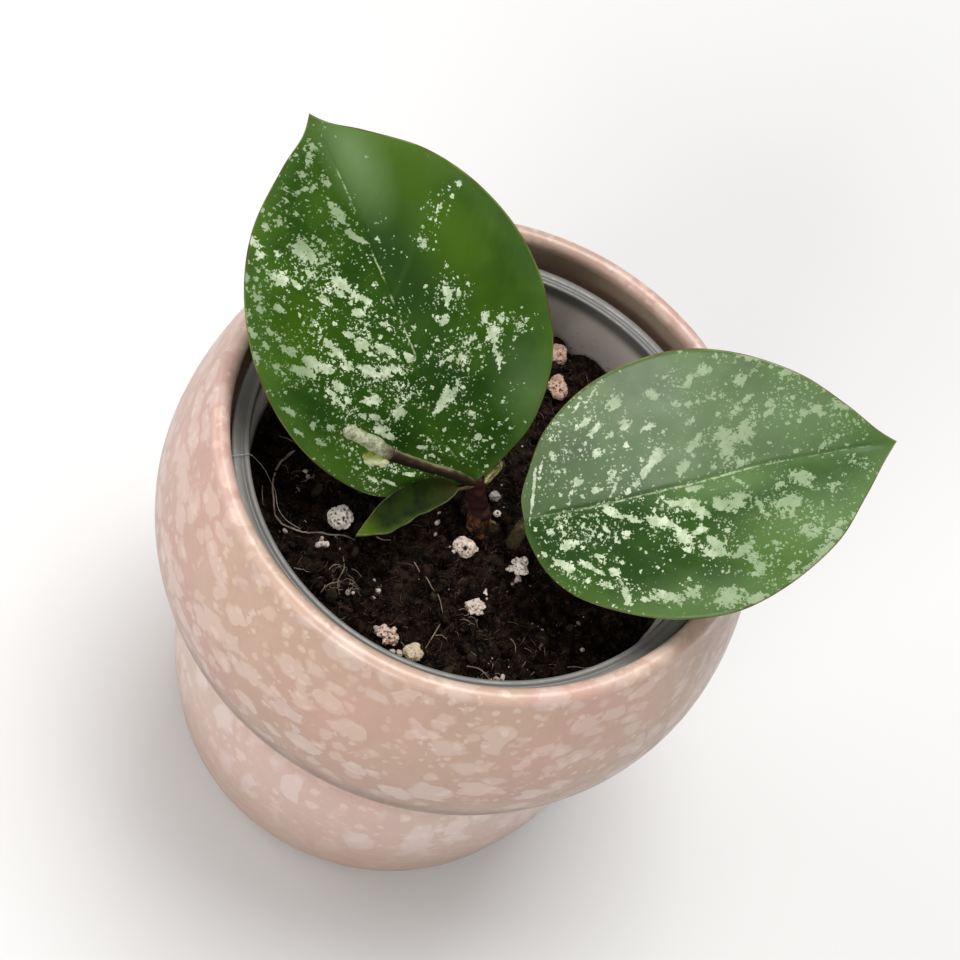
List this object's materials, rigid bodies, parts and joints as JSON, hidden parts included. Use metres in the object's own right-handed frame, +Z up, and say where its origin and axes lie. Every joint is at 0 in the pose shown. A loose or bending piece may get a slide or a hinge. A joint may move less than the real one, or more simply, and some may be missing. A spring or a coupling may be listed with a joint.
{
  "type": "potted hoya plant",
  "caption": "Young hoya plant with large speckled leaves in a plastic nursery pot, standing inside a round glazed ceramic pot with a narrower foot.",
  "frame": {"origin": "centre of the ceramic pot's flat base, on the surface it stands on", "axes": "+Z up along the pot's axis; +X towards the side the right leaf leans to; the picture looks along +Y from above"},
  "size_m": [0.1157, 0.1116, 0.1468],
  "materials": {
    "glaze": "gloss",
    "nursery_plastic": "satin",
    "soil": "matte",
    "perlite": "matte",
    "bark": "matte",
    "root": "matte",
    "stem": "matte",
    "shoot_tip": "matte",
    "bud": "satin",
    "leaf": "satin",
    "young_leaf": "satin"
  },
  "bodies": {
    "root": {"stem": "stem", "shoot_tip": "shoot_tip", "bud": "bud", "leaf_left": "leaf", "leaf_right": "leaf", "leaf_young": "young_leaf", "surface_root": "root", "soil": "soil", "perlite_01": "perlite", "perlite_02": "perlite", "perlite_03": "perlite", "perlite_04": "perlite", "perlite_05": "perlite", "perlite_06": "perlite", "perlite_07": "perlite", "perlite_08": "perlite", "perlite_09": "perlite", "perlite_10": "perlite", "perlite_11": "perlite", "bark_chip": "bark", "nursery_pot": "nursery_plastic", "ceramic_pot": "glaze"}
  },
  "joints": []
}
